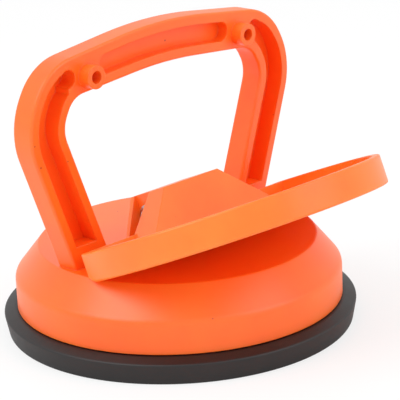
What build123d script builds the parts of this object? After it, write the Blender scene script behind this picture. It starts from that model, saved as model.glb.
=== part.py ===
from build123d import *
import os
from math import cos, radians, sin, tan

# Lever-locked suction lifter: rubber disc, moulded housing with an arch handle, and a flap lever
# on a steel stem. Millimetres, +Z up. The origin is the centre of the suction face.
# The lever points towards -Y and is modelled raised, which is the released position.

os.makedirs("parts", exist_ok=True)

# rubber disc
disc_r = 59.0
disc_edge_h = 7.0
disc_taper = 1.3
disc_lip_w = 4.2
seat_h = 8.3
soft_gap = 0.3

# housing shell
housing_r = 54.4
housing_wall = 3.0
shoulder_h = 19.0
plateau_h = 29.0
plateau_r = 46.3
guide_r = 9.5
guide_bottom = 13.5
rib_count = 6
rib_t = 2.0
rib_bottom = 16.0
rib_wall_bite = 1.0
shoulder_fillet = 3.0
plateau_fillet = 0.6

# arch handle, in a plane parallel to XZ just behind the centre
arch_front_y = 1.2
arch_t = 8.5
arch_edge_fillet = 0.9
arch_top = 102.6
arch_corner = (50.5, 96.3)
arch_knee = (61.4, 77.0)
arch_foot_x = 43.8
arch_radii = (24.0, 19.5)
grip_top = 88.3
grip_corner = (40.6, 84.8)
grip_knee = (45.6, 75.5)
grip_foot_x = 28.2
grip_radii = (10.0, 8.0)
crown_r = 160.0
pocket_border = 3.4
leg_pocket_depth = 6.3
grip_pocket_depth = 4.2
grip_pocket_half = 26.0
leg_pocket_x = 42.5
leg_pocket_bottom = 36.5
boss_x = 34.6
boss_z = 90.6
boss_r = 3.7
boss_stand = 4.4
boss_hole_r = 2.0

# lever and its travel
open_angle = 22.5
stem_lift = 3.8
pin_drop = 4.0
skirt_h = 9.5
flap_r = 51.3
flap_reach = 23.7
flap_back = 3.0
flap_wall = 2.4
flap_web = 2.0
tray_depth = 4.5
flap_fillet = 0.7
hub_top = 7.5
hub_front = (17.5, 11.3)
hub_half = (31.0, 12.5)
hub_back = 5.6
hub_back_half = (24.0, 12.5)
channel_half = 3.9
cheek_x = 12.0
hub_cap_t = 1.6

# steel parts
stem_r = 5.0
stem_fit = 0.05
eye_r = 5.4
eye_half_t = 4.6
eye_play = 0.3
eye_blend = 2.0
pin_r = 2.5
pin_end = 14.2
clip_t = 0.8
clip_play = 0.1
plate_r = 22.0
plate_t = 2.0
plate_bottom = 4.3
rivet_r = 3.5
washer_r = 12.8
washer_t = 1.0
washer_play = 0.1

disc_top = seat_h
housing_bottom = seat_h + soft_gap
swing = radians(open_angle)
closed_reach = pin_drop + skirt_h
pin_z = plateau_h + soft_gap + closed_reach - stem_lift

# frames of the raised lever: its own plane, the plane across it and the plane along it
lever_n = (0, sin(swing), cos(swing))
lever_back = (0, cos(swing), -sin(swing))
pin_axis_point = (0, 0, pin_z)
lever_plane = Plane(origin=pin_axis_point, x_dir=(1, 0, 0), z_dir=lever_n)
side_plane = Plane(origin=pin_axis_point, x_dir=lever_back, z_dir=(1, 0, 0))


def finish(part, name):
    part.label = name
    export_step(part, "parts/" + name + ".step")


def mirrored_outline(foot_x, knee, corner, top):
    """Corners of an arch outline from the right foot over the top to the left foot."""
    half = [(foot_x, plateau_h - housing_wall / 2), knee, corner]
    return half + [(0, top)] + [(-x, z) for x, z in reversed(half)]


def arch_face(foot_x, knee, corner, top, knee_r, corner_r, top_r):
    """Filled arch outline with rounded corners."""
    with BuildSketch() as face:
        with BuildLine():
            line = FilletPolyline(*mirrored_outline(foot_x, knee, corner, top),
                                  radius=[knee_r, corner_r, top_r, corner_r, knee_r])
            Line(line @ 1, line @ 0)
        make_face()
    return face.sketch


def band(border):
    """The arch band between its outer and inner outlines, drawn in by the given border."""
    outer = arch_face(
        arch_foot_x - border, (arch_knee[0] - border, arch_knee[1]),
        (arch_corner[0] - border * 0.7, arch_corner[1] - border * 0.9), arch_top - border,
        arch_radii[0] - border, arch_radii[1] - border, crown_r,
    )
    inner = arch_face(
        grip_foot_x + border, (grip_knee[0] + border, grip_knee[1]),
        (grip_corner[0] + border * 0.7, grip_corner[1] + border * 0.9), grip_top + border,
        grip_radii[0] + border, grip_radii[1] + border, crown_r,
    )
    return outer - inner


def crown_z(x, top, corner):
    """Height of an arch outline's straight crown at x."""
    return top + (corner[1] - top) * x / corner[0]


def pocket_mid(x):
    """Middle height of the grip band at x."""
    return (crown_z(x, arch_top, arch_corner) + crown_z(x, grip_top, grip_corner)) / 2


def pocket_half(x):
    """Half the width of the pocket in the grip band at x."""
    return (crown_z(x, arch_top, arch_corner) - crown_z(x, grip_top, grip_corner)) / 2 - pocket_border


# ---------------------------------------------------------------- housing with arch handle
with BuildPart() as housing:
    inner_r = housing_r - housing_wall
    with BuildSketch(Plane.XZ):
        with BuildLine():
            Polyline(
                (stem_r + stem_fit, guide_bottom), (guide_r, guide_bottom),
                (guide_r, plateau_h - housing_wall),
                (plateau_r - housing_wall / 2, plateau_h - housing_wall),
                (inner_r, shoulder_h - housing_wall / 2), (inner_r, housing_bottom),
                (housing_r, housing_bottom), (housing_r, shoulder_h), (plateau_r, plateau_h),
                (stem_r + stem_fit, plateau_h), close=True,
            )
        make_face()
    revolve(axis=Axis.Z)
    circles = housing.edges().filter_by(GeomType.CIRCLE)
    outer = [e for e in circles if e.radius > inner_r]
    fillet([e for e in outer if abs(e.center().Z - shoulder_h) < 0.1], radius=shoulder_fillet)
    rims = [e for e in housing.edges().filter_by(GeomType.CIRCLE) if abs(e.radius - plateau_r) < 0.1]
    fillet([e for e in rims if abs(e.center().Z - plateau_h) < 0.1], radius=plateau_fillet)
    # radial ribs run from the stem guide to the wall under the plateau
    rib_end = plateau_r - rib_wall_bite
    with BuildSketch(Plane.XY.offset(rib_bottom)):
        with PolarLocations(0, rib_count):
            with Locations(((guide_r - 1 + rib_end) / 2, 0)):
                Rectangle(rib_end - guide_r + 1, rib_t)
    extrude(amount=plateau_h - housing_wall - rib_bottom + 0.5)
    with BuildSketch(Plane.XY.offset(plateau_h - washer_t)):
        Circle(washer_r + washer_play)
    extrude(amount=washer_t, mode=Mode.SUBTRACT)
    with BuildSketch(Plane.XZ.offset(-arch_front_y)):
        add(band(0))
    extrude(amount=-arch_t)
    front_edges = housing.edges().filter_by_position(Axis.Y, arch_front_y - 0.1, arch_front_y + 0.1)
    back_y = arch_front_y + arch_t
    back_edges = housing.edges().filter_by_position(Axis.Y, back_y - 0.1, back_y + 0.1)
    arch_edges = [e for e in front_edges + back_edges if e.center().Z > plateau_h + 8]
    fillet(arch_edges, radius=arch_edge_fillet)
    # pockets in the front of the legs and of the grip
    with BuildSketch(Plane.XZ.offset(-arch_front_y)):
        add(band(pocket_border))
        with Locations((0, leg_pocket_bottom - 30)):
            Rectangle(150, 60, mode=Mode.SUBTRACT)
        with Locations((0, arch_top)):
            Rectangle(2 * leg_pocket_x, 50, mode=Mode.SUBTRACT)
        for side in (-1, 1):
            with Locations((side * leg_pocket_x, pocket_mid(leg_pocket_x))):
                Circle(pocket_half(leg_pocket_x))
    extrude(amount=-leg_pocket_depth, mode=Mode.SUBTRACT)
    with BuildSketch(Plane.XZ.offset(-arch_front_y)):
        add(band(pocket_border))
        with Locations((0, grip_top)):
            Rectangle(2 * grip_pocket_half, 40, mode=Mode.INTERSECT)
        for side in (-1, 1):
            with Locations((side * grip_pocket_half, pocket_mid(grip_pocket_half))):
                Circle(pocket_half(grip_pocket_half))
    extrude(amount=-grip_pocket_depth, mode=Mode.SUBTRACT)
    # two tubular bosses on the shoulders of the arch
    with BuildSketch(Plane.XZ.offset(-arch_front_y - 1)):
        with Locations((-boss_x, boss_z), (boss_x, boss_z)):
            Circle(boss_r)
    extrude(amount=boss_stand + 1)
    with BuildSketch(Plane.XZ.offset(boss_stand + 1)):
        with Locations((-boss_x, boss_z), (boss_x, boss_z)):
            Circle(boss_hole_r)
    extrude(amount=-(boss_stand + back_y + 2), mode=Mode.SUBTRACT)
finish(housing.part, "housing")

# ---------------------------------------------------------------- rubber disc
with BuildPart() as suction_disc:
    lip_r = disc_r - disc_lip_w
    with BuildSketch(Plane.XZ):
        with BuildLine():
            Polyline(
                (0, 0), (disc_r - disc_taper, 0), (disc_r, disc_edge_h), (lip_r, seat_h),
                (plate_r + soft_gap, seat_h), (plate_r + soft_gap, plate_bottom - soft_gap),
                (0, plate_bottom - soft_gap), close=True,
            )
        make_face()
    revolve(axis=Axis.Z)
finish(suction_disc.part, "suction_disc")

# ---------------------------------------------------------------- steel stem and its plate
with BuildPart() as insert_plate:
    with BuildSketch(Plane.XY.offset(plate_bottom)):
        Circle(plate_r)
        Circle(rivet_r, mode=Mode.SUBTRACT)
    extrude(amount=plate_t)
finish(insert_plate.part, "insert_plate")

with BuildPart() as stem:
    with BuildSketch(Plane.XY.offset(plate_bottom)):
        Circle(rivet_r)
    extrude(amount=plate_t)
    with BuildSketch(Plane.XY.offset(plate_bottom + plate_t)):
        Circle(stem_r)
    extrude(amount=pin_z - eye_r + eye_blend - plate_bottom - plate_t)
    with BuildSketch(Plane.YZ.offset(-eye_half_t)):
        with Locations((0, pin_z)):
            Circle(eye_r)
    extrude(amount=2 * eye_half_t)
    with BuildSketch(Plane.YZ.offset(-eye_half_t - 1)):
        with Locations((0, pin_z)):
            Circle(pin_r + stem_fit)
    extrude(amount=2 * eye_half_t + 2, mode=Mode.SUBTRACT)
finish(stem.part, "stem")

with BuildPart() as wear_washer:
    with BuildSketch(Plane.XY.offset(plateau_h - washer_t)):
        Circle(washer_r)
        Circle(stem_r + washer_play * 3, mode=Mode.SUBTRACT)
    extrude(amount=washer_t)
finish(wear_washer.part, "wear_washer")


# ---------------------------------------------------------------- lever
def heel_point(angle):
    """Point of the heel that touches the plateau when the lever is raised by this angle."""
    drop_rate = stem_lift / swing
    reach = closed_reach - drop_rate * angle
    return (reach * sin(angle) - drop_rate * cos(angle), -reach * cos(angle) - drop_rate * sin(angle))


def flap_outline(border):
    """Round flap with a straight back edge, drawn in by the given border."""
    with Locations((0, -flap_reach)):
        Circle(flap_r - border)
    with Locations((0, flap_r - flap_back - border)):
        Rectangle(4 * flap_r, 2 * flap_r, mode=Mode.SUBTRACT)


with BuildPart() as lever:
    with BuildSketch(lever_plane.offset(-pin_drop)):
        flap_outline(0)
    extrude(amount=-skirt_h)
    fillet(lever.edges().filter_by(GeomType.CIRCLE), radius=flap_fillet)
    with BuildSketch(lever_plane.offset(-pin_drop)):
        flap_outline(flap_wall)
    extrude(amount=-tray_depth, mode=Mode.SUBTRACT)
    with BuildSketch(lever_plane.offset(-closed_reach)):
        flap_outline(flap_wall)
    extrude(amount=skirt_h - tray_depth - flap_web, mode=Mode.SUBTRACT)
    # central hub: a tent in front of the pin and a lower wall behind it
    web_top = -pin_drop - tray_depth
    front_y = -(hub_front[0] + flap_back) / 2
    crest_y = -(hub_front[1] + flap_back) / 2
    with BuildSketch(lever_plane.offset(web_top - flap_web)):
        with Locations((0, front_y)):
            Rectangle(2 * hub_half[0], hub_front[0] - flap_back)
    with BuildSketch(lever_plane.offset(hub_top)):
        with Locations((0, crest_y)):
            Rectangle(2 * hub_half[1], hub_front[1] - flap_back)
    loft()
    with BuildSketch(lever_plane.offset(web_top - flap_web)):
        Rectangle(2 * hub_back_half[0], 2 * hub_back)
    with BuildSketch(lever_plane.offset(hub_top)):
        Rectangle(2 * hub_back_half[1], 2 * hub_back)
    loft()
    # channel either side of the cheeks, and the slot that the stem's eye turns in
    with BuildSketch(side_plane.offset(cheek_x)):
        with Locations((0, hub_top)):
            Rectangle(2 * channel_half, 2 * (hub_top - web_top - 1))
    extrude(amount=hub_half[0], mode=Mode.SUBTRACT)
    with BuildSketch(side_plane.offset(-cheek_x)):
        with Locations((0, hub_top)):
            Rectangle(2 * channel_half, 2 * (hub_top - web_top - 1))
    extrude(amount=-hub_half[0], mode=Mode.SUBTRACT)
    slot_half = stem_r + eye_play
    with BuildSketch(side_plane.offset(-slot_half)):
        Circle(hub_top - hub_cap_t)
        with Locations((closed_reach - hub_top + hub_cap_t, -closed_reach)):
            Rectangle(2 * closed_reach, 2 * closed_reach)
    extrude(amount=2 * slot_half, mode=Mode.SUBTRACT)
    with BuildSketch(side_plane.offset(-cheek_x - 1)):
        Circle(pin_r + stem_fit)
    extrude(amount=2 * cheek_x + 2, mode=Mode.SUBTRACT)
    # heel: the lower back edge follows the plateau as the lever closes
    heel = [heel_point(swing * step / 3) for step in range(4)]
    far_y = hub_back + 2
    heel_end = (far_y, heel[-1][1] + (far_y - heel[-1][0]) * tan(swing))
    with BuildSketch(side_plane.offset(-flap_r)):
        with BuildLine():
            Polyline(*heel, heel_end, (far_y, -2 * closed_reach), (heel[0][0], -2 * closed_reach), close=True)
        make_face()
    extrude(amount=2 * flap_r, mode=Mode.SUBTRACT)
finish(lever.part, "lever")

with BuildPart() as pivot_pin:
    with BuildSketch(side_plane.offset(-pin_end)):
        Circle(pin_r)
    extrude(amount=2 * pin_end)
    chamfer(pivot_pin.edges().filter_by(GeomType.CIRCLE), length=0.4)
finish(pivot_pin.part, "pivot_pin")

for side, name in ((-1, "pin_clip_left"), (1, "pin_clip_right")):
    with BuildPart() as clip:
        with BuildSketch(side_plane.offset(side * (cheek_x + clip_play))):
            Circle(channel_half - clip_play)
            Circle(pin_r, mode=Mode.SUBTRACT)
        extrude(amount=side * clip_t)
    finish(clip.part, name)
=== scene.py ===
from math import cos, pi, radians, sin

import bmesh
import bpy
from mathutils import Matrix, Vector


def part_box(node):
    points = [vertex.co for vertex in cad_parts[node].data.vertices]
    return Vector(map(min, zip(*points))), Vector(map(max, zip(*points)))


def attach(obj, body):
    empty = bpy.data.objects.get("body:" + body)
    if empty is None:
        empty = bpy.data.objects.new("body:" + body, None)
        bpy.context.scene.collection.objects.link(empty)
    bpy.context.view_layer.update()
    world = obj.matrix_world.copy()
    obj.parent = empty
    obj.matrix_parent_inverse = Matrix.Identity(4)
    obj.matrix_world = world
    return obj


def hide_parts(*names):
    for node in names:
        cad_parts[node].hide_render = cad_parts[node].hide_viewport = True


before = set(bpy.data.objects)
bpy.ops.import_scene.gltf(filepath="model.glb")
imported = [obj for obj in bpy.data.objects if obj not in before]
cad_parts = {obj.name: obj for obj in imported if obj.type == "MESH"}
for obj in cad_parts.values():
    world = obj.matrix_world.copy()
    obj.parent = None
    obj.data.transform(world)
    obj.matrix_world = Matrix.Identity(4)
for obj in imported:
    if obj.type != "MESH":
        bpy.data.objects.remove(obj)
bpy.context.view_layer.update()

MM = 0.001
scene = bpy.context.scene
scene.view_settings.view_transform = "Standard"


def srgb(code):
    """Hex colour as linear red, green, blue, alpha."""
    parts = [int(code[i:i + 2], 16) / 255 for i in (1, 3, 5)]
    return (*(c / 12.92 if c <= 0.04045 else ((c + 0.055) / 1.055) ** 2.4 for c in parts), 1)


def outward(azimuth, elevation):
    """Unit vector from the object towards a viewer: azimuth 0 is in front, at -Y, and 90 is at +X."""
    return Vector((sin(azimuth) * cos(elevation), -cos(azimuth) * cos(elevation), sin(elevation)))


# ------------------------------------------------------------------ camera
CAMERA_AZIMUTH = radians(-44.6)
CAMERA_ELEVATION = radians(21.4)
CAMERA_DISTANCE = 0.634
CAMERA_LENS_MM = 169
CAMERA_ROLL = radians(-2.6)
AIM = Vector((0.0062, -0.0052, 0.0405))


def add_camera():
    """Camera at the stated angle, aimed at a point near the middle of the object, with a slight roll."""
    camera = bpy.data.objects.new("camera", bpy.data.cameras.new("camera"))
    scene.collection.objects.link(camera)
    camera.data.lens = CAMERA_LENS_MM
    camera.location = outward(CAMERA_AZIMUTH, CAMERA_ELEVATION) * CAMERA_DISTANCE
    look = (AIM - camera.location).to_track_quat("-Z", "Y").to_matrix().to_4x4()
    camera.matrix_world = Matrix.Translation(camera.location) @ look @ Matrix.Rotation(CAMERA_ROLL, 4, "Z")
    scene.camera = camera


# ------------------------------------------------------------------ materials, sizes in millimetres
ABS_IOR = 1.53
SPECK_SPACING = 9
SPECK_COLOUR = "#B8431A"
# the mould's spark-eroded skin is about 0.35, drawn coarser so that it shows
SKIN_GRAIN = 0.9
SKIN_DEPTH = 0.2
# a moulding has no knife edge: the shading of its edges is rounded over this reach
EDGE_ROUND = 0.5
# how far light spreads inside the plastic
LIGHT_DEPTH = 2.5
RUBBER_IOR = 1.52
BLOOM_WIDTH = 14
# the rubber's own grain is finer than this, drawn coarser so that it shows
RUBBER_GRAIN = 0.7
RUBBER_DEPTH = 0.15
PLATING_PATCH = 3
# turning marks are about 0.1 apart, drawn coarser so that they show
TURNING_MARK = 2
MARK_DEPTH = 0.05


def node(tree, kind, settings=None, **links):
    """Adds one node, sets its attributes and sockets, and links what is given as another node's socket.

    A socket is named with underscores for spaces, or numbered: i6 is input 6.
    """
    made = tree.nodes.new(kind)
    for key, value in (settings or {}).items():
        setattr(made, key, value)
    for key, value in links.items():
        name = key.replace("_", " ")
        socket = made.inputs[int(key[1:])] if key[1:].isdigit() else made.inputs[name]
        if isinstance(value, bpy.types.NodeSocket):
            tree.links.new(value, socket)
        else:
            socket.default_value = value
    return made


def material(name):
    """New node material: the material, its node tree and its shader."""
    made = bpy.data.materials.new(name)
    made.use_nodes = True
    tree = made.node_tree
    return made, tree, tree.nodes["Principled BSDF"]


def shade(tree, low, high, factor):
    """Colour between two hex colours by a factor socket."""
    mix = node(tree, "ShaderNodeMix", {"data_type": "RGBA"}, i0=factor, i6=srgb(low), i7=srgb(high))
    return mix.outputs[2]


def moulded_orange(name, deep, bright, cloud_mm, gloss):
    """ABS, injection moulded and self-coloured: a satin skin with flow clouding, fine grain and specks."""
    made, tree, skin = material(name)
    place = node(tree, "ShaderNodeTexCoord").outputs["Object"]
    cloud = node(tree, "ShaderNodeTexNoise", Vector=place, Scale=1 / (cloud_mm * MM), Detail=4.0,
                 Roughness=0.55)
    tint = node(tree, "ShaderNodeMapRange", Value=cloud.outputs["Fac"], From_Min=0.3, From_Max=0.7)
    speck = node(tree, "ShaderNodeTexVoronoi", Vector=place, Scale=1 / (SPECK_SPACING * MM))
    dot = node(tree, "ShaderNodeMapRange", Value=speck.outputs["Distance"], From_Min=0.03, From_Max=0.05)
    body = shade(tree, deep, bright, tint.outputs[0])
    spotted = node(tree, "ShaderNodeMix", {"data_type": "RGBA"}, i0=dot.outputs[0], i6=srgb(SPECK_COLOUR),
                   i7=body)
    tree.links.new(spotted.outputs[2], skin.inputs["Base Color"])
    grain = node(tree, "ShaderNodeTexNoise", Vector=place, Scale=1 / (SKIN_GRAIN * MM), Detail=3.0)
    sheen = node(tree, "ShaderNodeMapRange", Value=cloud.outputs["Fac"], To_Min=gloss - 0.05,
                 To_Max=gloss + 0.08)
    tree.links.new(sheen.outputs[0], skin.inputs["Roughness"])
    soft = node(tree, "ShaderNodeBevel", {"samples": 4}, Radius=EDGE_ROUND * MM)
    bump = node(tree, "ShaderNodeBump", Strength=0.06, Distance=SKIN_DEPTH * MM,
                Height=grain.outputs["Fac"], Normal=soft.outputs[0])
    tree.links.new(bump.outputs[0], skin.inputs["Normal"])
    skin.inputs["IOR"].default_value = ABS_IOR
    skin.inputs["Subsurface Weight"].default_value = 0.25
    skin.inputs["Subsurface Radius"].default_value = (1.0, 0.35, 0.12)
    skin.inputs["Subsurface Scale"].default_value = LIGHT_DEPTH * MM
    return made


def moulded_rubber():
    """Natural rubber, compression moulded: near black with a warm cast, dusty bloom and a dull gloss."""
    made, tree, skin = material("moulded_rubber")
    place = node(tree, "ShaderNodeTexCoord").outputs["Object"]
    bloom = node(tree, "ShaderNodeTexNoise", Vector=place, Scale=1 / (BLOOM_WIDTH * MM), Detail=6.0,
                 Roughness=0.65)
    tint = node(tree, "ShaderNodeMapRange", Value=bloom.outputs["Fac"], From_Min=0.35, From_Max=0.75)
    tree.links.new(shade(tree, "#0B0707", "#191110", tint.outputs[0]), skin.inputs["Base Color"])
    dull = node(tree, "ShaderNodeMapRange", Value=bloom.outputs["Fac"], To_Min=0.42, To_Max=0.6)
    tree.links.new(dull.outputs[0], skin.inputs["Roughness"])
    grain = node(tree, "ShaderNodeTexNoise", Vector=place, Scale=1 / (RUBBER_GRAIN * MM), Detail=2.0)
    bump = node(tree, "ShaderNodeBump", Strength=0.12, Distance=RUBBER_DEPTH * MM,
                Height=grain.outputs["Fac"])
    tree.links.new(bump.outputs[0], skin.inputs["Normal"])
    skin.inputs["IOR"].default_value = RUBBER_IOR
    return made


def turned_steel(name, dark, light, rough):
    """Turned steel, zinc plated or ground bright: grey metal with patchy brightness and fine marks."""
    made, tree, skin = material(name)
    place = node(tree, "ShaderNodeTexCoord").outputs["Object"]
    patch = node(tree, "ShaderNodeTexNoise", Vector=place, Scale=1 / (PLATING_PATCH * MM), Detail=5.0)
    tree.links.new(shade(tree, dark, light, patch.outputs["Fac"]), skin.inputs["Base Color"])
    turned = node(tree, "ShaderNodeTexWave", Vector=place, Scale=1 / (TURNING_MARK * MM), Distortion=1.0)
    bump = node(tree, "ShaderNodeBump", Strength=0.1, Distance=MARK_DEPTH * MM, Height=turned.outputs["Fac"])
    tree.links.new(bump.outputs[0], skin.inputs["Normal"])
    skin.inputs["Metallic"].default_value = 1
    skin.inputs["Roughness"].default_value = rough
    return made


# ------------------------------------------------------------------ rubber disc, sizes in millimetres
DISC_STEPS = 160
DISC_CORNER = 0.7
# a corner's curve takes no more than this share of the run on each side
CORNER_SHARE = 0.45
LIP_RUN = 1.3
LIP_HEIGHT = 6.9
HOLLOW_R = (46, 48)
HOLLOW_DEPTH = 0.9
LIP_INNER_Z = 0.1
SHOULDER_R = 55.2
TOP_PLAY = 0.05
PLATE_PLAY = 0.3


def lathe(name, profile, steps):
    """Closed solid turned about Z from an (r, z) profile in millimetres that starts and ends on the axis."""
    mesh = bpy.data.meshes.new(name)
    form = bmesh.new()
    rings = []
    for r, z in profile:
        count = 1 if r == 0 else steps
        angles = [2 * pi * i / steps for i in range(count)]
        rings.append([form.verts.new((r * MM * cos(a), r * MM * sin(a), z * MM)) for a in angles])
    for low, high in zip(rings, rings[1:]):
        for i in range(steps):
            j = (i + 1) % steps
            corners = [low[i % len(low)], low[j % len(low)], high[j % len(high)], high[i % len(high)]]
            form.faces.new(list(dict.fromkeys(corners)))
    bmesh.ops.recalc_face_normals(form, faces=form.faces)
    form.to_mesh(mesh)
    form.free()
    mesh.polygons.foreach_set("use_smooth", [True] * len(mesh.polygons))
    piece = bpy.data.objects.new(name, mesh)
    scene.collection.objects.link(piece)
    return piece


def rounded(corners, radius, steps=5):
    """Profile with each corner between its ends turned into a small curve that starts a radius before it."""
    out = [corners[0]]
    for before, corner, after in zip(corners, corners[1:], corners[2:]):
        c = Vector(corner)
        run_in, run_out = Vector(before) - c, Vector(after) - c
        reach = min(radius, run_in.length * CORNER_SHARE, run_out.length * CORNER_SHARE)
        start, end = c + run_in.normalized() * reach, c + run_out.normalized() * reach
        for i in range(steps + 1):
            t = i / steps
            out.append(tuple(start * (1 - t) ** 2 + c * 2 * t * (1 - t) + end * t * t))
    return out + [corners[-1]]


def make_rubber_disc():
    """Rubber disc: a flared rim, a shallow hollow inside its lip, a sloping top and a well for the plate."""
    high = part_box("suction_disc")[1]
    rim = high[0] / MM
    top = high[2] / MM
    plate_low, plate_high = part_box("insert_plate")
    well = plate_high[0] / MM + PLATE_PLAY
    floor = plate_low[2] / MM - PLATE_PLAY
    hollow_end, lip_start = HOLLOW_R
    corners = [(0, HOLLOW_DEPTH), (hollow_end, HOLLOW_DEPTH), (lip_start, LIP_INNER_Z), (rim - LIP_RUN, 0),
               (rim, LIP_HEIGHT), (SHOULDER_R, top - TOP_PLAY), (well, top - TOP_PLAY), (well, floor),
               (0, floor)]
    return lathe("rubber_disc", rounded(corners, DISC_CORNER), DISC_STEPS)


# ------------------------------------------------------------------ floor, lamps and world
FLOOR_RADIUS = 6
FLOOR_GLOW_SHARE = 0.72
WORLD_ON_OBJECT = 0.85
WORLD_SEEN = 1.0


def add_floor():
    """Round pale floor that keeps the object's soft shadow."""
    mesh = bpy.data.meshes.new("floor")
    form = bmesh.new()
    bmesh.ops.create_circle(form, cap_ends=True, segments=96, radius=FLOOR_RADIUS)
    form.to_mesh(mesh)
    form.free()
    floor = bpy.data.objects.new("floor", mesh)
    scene.collection.objects.link(floor)
    made, tree, skin = material("pale_floor")
    skin.inputs["Base Color"].default_value = srgb("#F4F4F4")
    skin.inputs["Roughness"].default_value = 0.9
    # seen directly the floor is nearly white paper, so only the object's soft shadow stands out
    ray = node(tree, "ShaderNodeLightPath")
    glow = node(tree, "ShaderNodeEmission", Color=(1, 1, 1, 1), Strength=1.0)
    share = node(tree, "ShaderNodeMath", {"operation": "MULTIPLY"}, i0=ray.outputs["Is Camera Ray"],
                 i1=FLOOR_GLOW_SHARE)
    mixed = node(tree, "ShaderNodeMixShader", i0=share.outputs[0], i1=skin.outputs[0], i2=glow.outputs[0])
    tree.links.new(mixed.outputs[0], tree.nodes["Material Output"].inputs["Surface"])
    floor.data.materials.append(made)


def add_lamp(name, azimuth, elevation, distance, size, power):
    """Square soft lamp that points at the object: angles in degrees, sizes in metres, power in watts."""
    back = outward(radians(azimuth), radians(elevation))
    data = bpy.data.lights.new(name, "AREA")
    data.size = size
    data.energy = power
    lamp = bpy.data.objects.new(name, data)
    lamp.location = back * distance
    lamp.rotation_euler = back.to_track_quat("Z", "Y").to_euler()
    scene.collection.objects.link(lamp)


def add_world():
    """Even white surroundings, a little brighter where they are seen or mirrored than as light."""
    world = bpy.data.worlds.new("studio")
    scene.world = world
    world.use_nodes = True
    tree = world.node_tree
    ray = node(tree, "ShaderNodeLightPath")
    seen = node(tree, "ShaderNodeMath", {"operation": "MAXIMUM"}, i0=ray.outputs["Is Camera Ray"],
                i1=ray.outputs["Is Glossy Ray"])
    seen = node(tree, "ShaderNodeMath", {"operation": "MAXIMUM"}, i0=seen.outputs[0],
                i1=ray.outputs["Is Transmission Ray"])
    strength = node(tree, "ShaderNodeMapRange", Value=seen.outputs[0], To_Min=WORLD_ON_OBJECT,
                    To_Max=WORLD_SEEN)
    background = tree.nodes["Background"]
    background.inputs["Color"].default_value = (1, 1, 1, 1)
    tree.links.new(strength.outputs[0], background.inputs["Strength"])


add_camera()
add_floor()
add_world()
add_lamp("key", azimuth=-100, elevation=50, distance=1.2, size=0.7, power=6)
add_lamp("fill", azimuth=20, elevation=35, distance=1.3, size=0.8, power=4)

# one orange ABS in two copies: the housing's is darker as painted shade, for the shade it lies in under the
# lever; the lever's copy is the lit one
housing_plastic_painted_shade = moulded_orange("moulded_abs_housing", "#FF6212", "#FF7019", 40, 0.36)
lever_plastic = moulded_orange("moulded_abs_lever", "#FF6E14", "#FF8024", 30, 0.34)
rubber = moulded_rubber()
zinc = turned_steel("zinc_plated_steel", "#8D8E8C", "#B9BAB6", 0.38)
bright = turned_steel("ground_steel", "#A5A6A8", "#CDCECF", 0.25)

FINISHES = {
    "housing": housing_plastic_painted_shade,
    "lever": lever_plastic,
    "insert_plate": zinc,
    "stem": zinc,
    "wear_washer": zinc,
    "pivot_pin": bright,
    "pin_clip_left": bright,
    "pin_clip_right": bright,
}
for name, finish in FINISHES.items():
    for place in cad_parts[name].material_slots:
        place.material = finish

disc = make_rubber_disc()
disc.data.materials.append(rubber)
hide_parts("suction_disc")
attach(disc, "housing")
